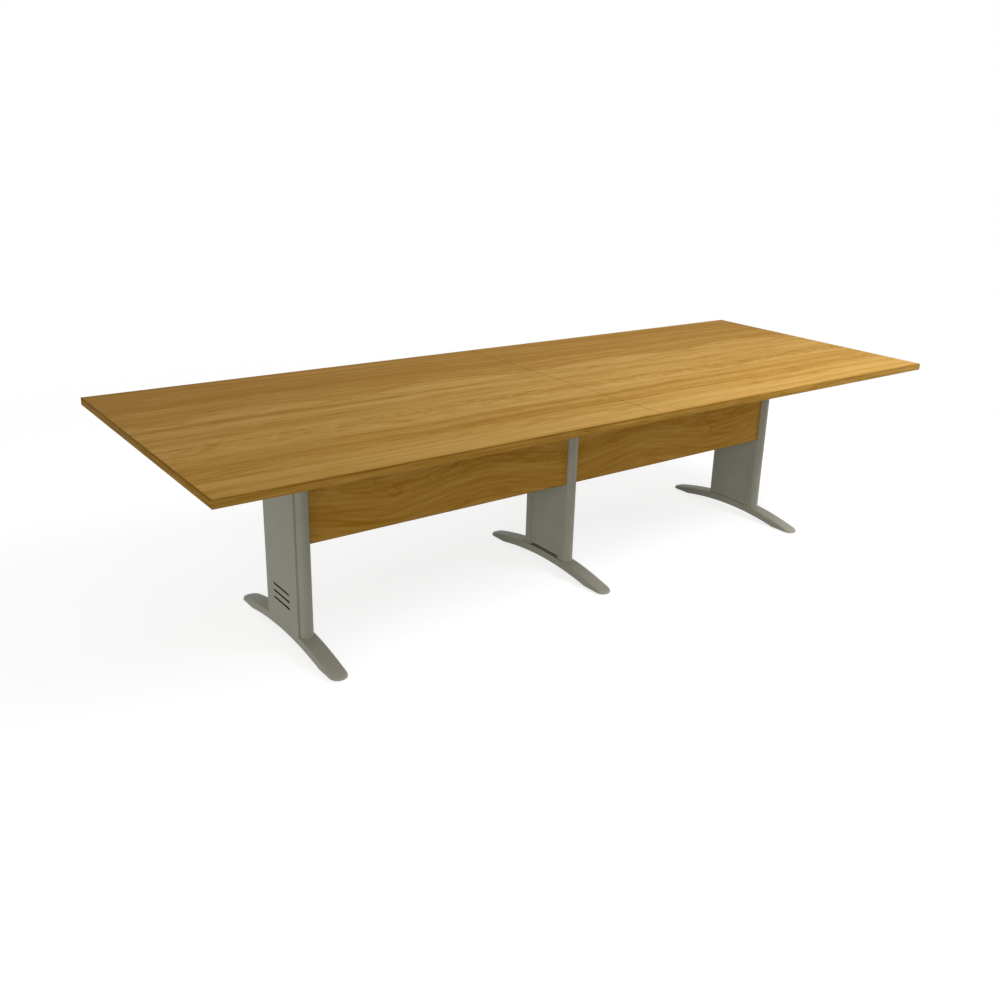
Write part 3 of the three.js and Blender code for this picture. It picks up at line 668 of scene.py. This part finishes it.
def wood_print(name, along, across, wave, crown, contrast, colours, brow=None, arches=0.0):
    """Oak-look print, from the piece's axis along the grain and its axis, zero and side across it. The
    figure comes back after each print_length, and each of its marks has a place across the grain. crown
    is the strength of its long growth lines, arches that of the short ones that hang between them, and
    brow is where a strip's darker edge starts."""
    material, paint, point = new_finish(name)
    split = [point.make("ShaderNodeSeparateXYZ", {}, {0: point}, i) for i in range(3)]
    axis, zero, side = across
    run = split[along]
    bent = (split[axis] - zero) * side

    def grain_noise(lengthways, crossways, layer, detail=3.0, roughness=0.5):
        place = run.make(
            "ShaderNodeCombineXYZ", {}, {0: run * lengthways, 1: bent * crossways, 2: layer}
        )
        sockets = {"Vector": place, "Scale": 1.0, "Detail": detail, "Roughness": roughness}
        return run.make("ShaderNodeTexNoise", {}, sockets)

    def off(place):
        return bent.sum_of("ABSOLUTE", bent - place)

    swing = run.sum_of("COSINE", run * (2 * math.pi / print_length))
    bent = bent + swing * wave + (grain_noise(1.3, 4.0, 0.7, 2.0) - 0.5) * 0.035
    # print bands across the grain, with painted shade towards the rear edge where the print spans the
    # top's depth
    bands_and_rear_shade = bent.make(
        "ShaderNodeValToRGB",
        {"stops": [(share, (tone / 2, tone / 2, tone / 2)) for share, tone in oak_bands_and_painted_rear_shade]},
        {"Fac": bent * (1 / print_width) + 0.5},
    )
    # marks that stay at their places
    from_eye = print_length / 2 - run.sum_of("PINGPONG", run, print_length / 2)
    eye = off(eye_place) * 16.0 + (from_eye * 3.2) ** 2.0
    rim = eye.between(0.75, 1.0) - eye.between(1.0, 1.25)
    rim = rim + (eye.between(1.5, 1.8) - eye.between(1.8, 2.2)) * 0.5
    dashes = off(dash_place).between(0.002, 0.007, 1.0, 0.0) * from_eye.between(0.12, 0.17, 1.0, 0.0)
    dashes = dashes * grain_noise(8.0, 30.0, 9.3, 1.0).between(0.48, 0.58)
    growth_line = off(line_place + swing * 0.009).between(0.002, 0.008, 1.0, 0.0)
    growth_line = growth_line * grain_noise(2.5, 6.0, 11.1, 1.0).between(0.32, 0.6)
    flecks = off(fleck_place).between(0.02, 0.06, 1.0, 0.0)
    flecks = flecks * (grain_noise(28.0, 75.0, 13.7, 2.0) - 0.5)
    chevrons = off(chevron_place).between(0.015, 0.04, 1.0, 0.0)
    chevrons = chevrons * grain_noise(11.0, 70.0, 17.9).between(0.54, 0.68)
    arch = bent + (grain_noise(2.6, 5.0, 29.9, 2.0) - 0.5) * 0.11
    growth = arch.sum_of("FRACT", arch * 48.0 + 20.0)
    crown_lines = growth.between(0.35, 0.92) - growth.between(0.92, 1.0)
    crown_lines = crown_lines * grain_noise(3.0, 22.0, 31.1, 2.0).between(0.36, 0.62)
    crown_lines = crown_lines * off(crown_place).between(0.05, 0.14, 1.0, 0.4)
    # grain that covers the whole print
    short_grain = grain_noise(10.0, 110.0, 35.3, 2.0)
    fibre = grain_noise(6.0, 210.0, 5.3, 3.0, 0.6)
    stripes = grain_noise(0.3, 26.0, 25.7, 2.0)
    streaks = grain_noise(0.9, 55.0, 21.3, 3.0, 0.6)
    pores = grain_noise(22.0, 520.0, 8.9, 2.0).between(0.58, 0.72)
    ticks = grain_noise(7.0, 85.0, 41.9, 1.0).between(0.56, 0.66)
    ticks = ticks * grain_noise(1.4, 9.0, 43.1, 1.0).between(0.42, 0.6)
    lighter = {
        "eye": eye.between(0.75, 1.05, 1.0, 0.0),
        "flecks": flecks * contrast,
        "stripes": (stripes - 0.5) * contrast,
        "streaks": streaks - 0.5,
        "short_grain": short_grain - 0.5,
        "fibre": fibre - 0.5,
    }
    darker = {
        "rim": rim,
        "dashes": dashes,
        "line": growth_line,
        "chevrons": chevrons,
        "pores": pores,
        "ticks": ticks * contrast,
    }
    if brow is not None:
        darker["brow"] = split[2].between(brow, brow + brow_height)
    tone = middle_tone + (bands_and_rear_shade * 2.0 - 1.0) * contrast - crown_lines * crown
    for figure, value in lighter.items():
        tone = tone + value * figure_strength[figure]
    for figure, value in darker.items():
        tone = tone - value * figure_strength[figure]
    if arches:
        broken = grain_noise(6.0, 30.0, 33.3, 1.0).between(0.4, 0.62)
        wander = (grain_noise(11.0, 16.0, 37.7, 2.0) - 0.5) * 2.6
        for middle, depth in arch_rows:
            aside = run.sum_of("PINGPONG", run - middle, print_length / 2)
            hang = (bent - arch_place) * (1 / depth) + (aside * 17.0) ** 2.0 + wander
            for line in (0.5, 1.0):
                bow = hang.between(line - 0.25, line - 0.05) - hang.between(line - 0.05, line + 0.15)
                tone = tone - bow * broken * arches
    dark, plain, pale = colours
    colour = tone.make(
        "ShaderNodeValToRGB", {"stops": [(0.25, dark), (0.5, plain), (0.75, pale)]}, {"Fac": tone}
    )
    relief = pores.make(
        "ShaderNodeBump", {"invert": True}, {"Strength": 0.15, "Distance": 0.0003, "Height": pores}
    )
    links = material.node_tree.links
    paint.inputs["Specular IOR Level"].default_value = 0.02
    links.new(colour.socket, paint.inputs["Base Color"])
    links.new((0.5 + pores * 0.14 + (fibre - 0.5) * 0.1).socket, paint.inputs["Roughness"])
    links.new(relief.socket, paint.inputs["Normal"])
    return material


oak_top = wood_print("oak_top", 0, (1, 0.0, 1.0), 0.004, 0.05, 1.0, oak_colours)
for half in ("left", "right"):
    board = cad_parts[f"top_board_{half}"]
    board.data.materials.clear()
    board.data.materials.append(oak_top)

# Edge bands: thin plastic strips with a darker oak print, glued round the top boards, their outer edges
# rounded. The end bands' colours are darker and less blue still, as painted shade on the table's ends.
# Those in the seam come closer to the top's colour, and the long ones' print is also on the modesty
# boards' lower edges.
band_colours = (0.185, 0.091, 0.011), (0.283, 0.149, 0.023), (0.370, 0.207, 0.042)
# same band colours made darker and less blue: painted shade on the ends
end_colours_painted_shade = (0.170, 0.081, 0.004), (0.260, 0.132, 0.009), (0.342, 0.185, 0.018)
seam_colours = (0.293, 0.140, 0.013), (0.365, 0.199, 0.033), (0.443, 0.260, 0.063)
band_brow = 0.7285
band_long = wood_print("oak_band_long", 0, (2, 0.72, 1.0), 0.003, 0.0, 0.5, band_colours, band_brow)
band_short = wood_print("oak_band_short", 1, (2, 0.75, 1.0), 0.003, 0.0, 0.5, end_colours_painted_shade, band_brow)
seam_strip = wood_print("oak_seam", 0, (1, 0.0, 1.0), 0.004, 0.0, 1.0, seam_colours)
strips = {"front": band_long, "rear": band_long, "end": band_short, "seam": seam_strip}
for half in ("left", "right"):
    for edge, material in strips.items():
        node = f"edge_band_{half}_{edge}"
        place_piece(
            finished_copy(node), f"{node}_strip", material, "edge_band", "table_frame", node
        )
    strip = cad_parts[f"modesty_edge_band_{half}"]
    strip.data.materials.clear()
    strip.data.materials.append(band_long)

# Modesty boards: laminate-faced boards between the legs' front columns, screwed to the lugs. Their
# grain runs along the table in long waves, with short arches hanging in it.
# The top's laminate colours, set a little darker and redder as painted shade under the tabletop.
modesty_colours_painted_shade = (0.320, 0.147, 0.012), (0.398, 0.210, 0.033), (0.482, 0.275, 0.064)
oak_modesty = wood_print(
    "oak_modesty", 0, (2, 0.38, -1.0), -0.022, 0.16, 0.5, modesty_colours_painted_shade, arches=0.2
)
for half in ("left", "right"):
    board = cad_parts[f"modesty_board_{half}"]
    board.data.materials.clear()
    board.data.materials.append(oak_modesty)


# Dowels: two plain beech pins across the seam, glued into the edges of both boards. They keep the
# boards level with each other, and are out of sight once the top is together.
def bare_beech():
    material, paint, point = new_finish("bare_beech")
    stretched = point.make(
        "ShaderNodeMapping", {"vector_type": "POINT"}, {"Vector": point, "Scale": (40.0, 900.0, 900.0)}
    )
    fleck = point.make("ShaderNodeTexNoise", {}, {"Vector": stretched, "Scale": 1.0, "Detail": 3.0})
    colour = fleck.make(
        "ShaderNodeValToRGB",
        {"stops": [(0.35, (0.50, 0.33, 0.17)), (0.65, (0.64, 0.46, 0.27))]},
        {"Fac": fleck},
    )
    links = material.node_tree.links
    links.new(colour.socket, paint.inputs["Base Color"])
    links.new((0.6 + fleck * 0.15).socket, paint.inputs["Roughness"])
    return material


beech = bare_beech()
for end in ("front", "rear"):
    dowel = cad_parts[f"seam_dowel_{end}"]
    dowel.data.materials.clear()
    dowel.data.materials.append(beech)
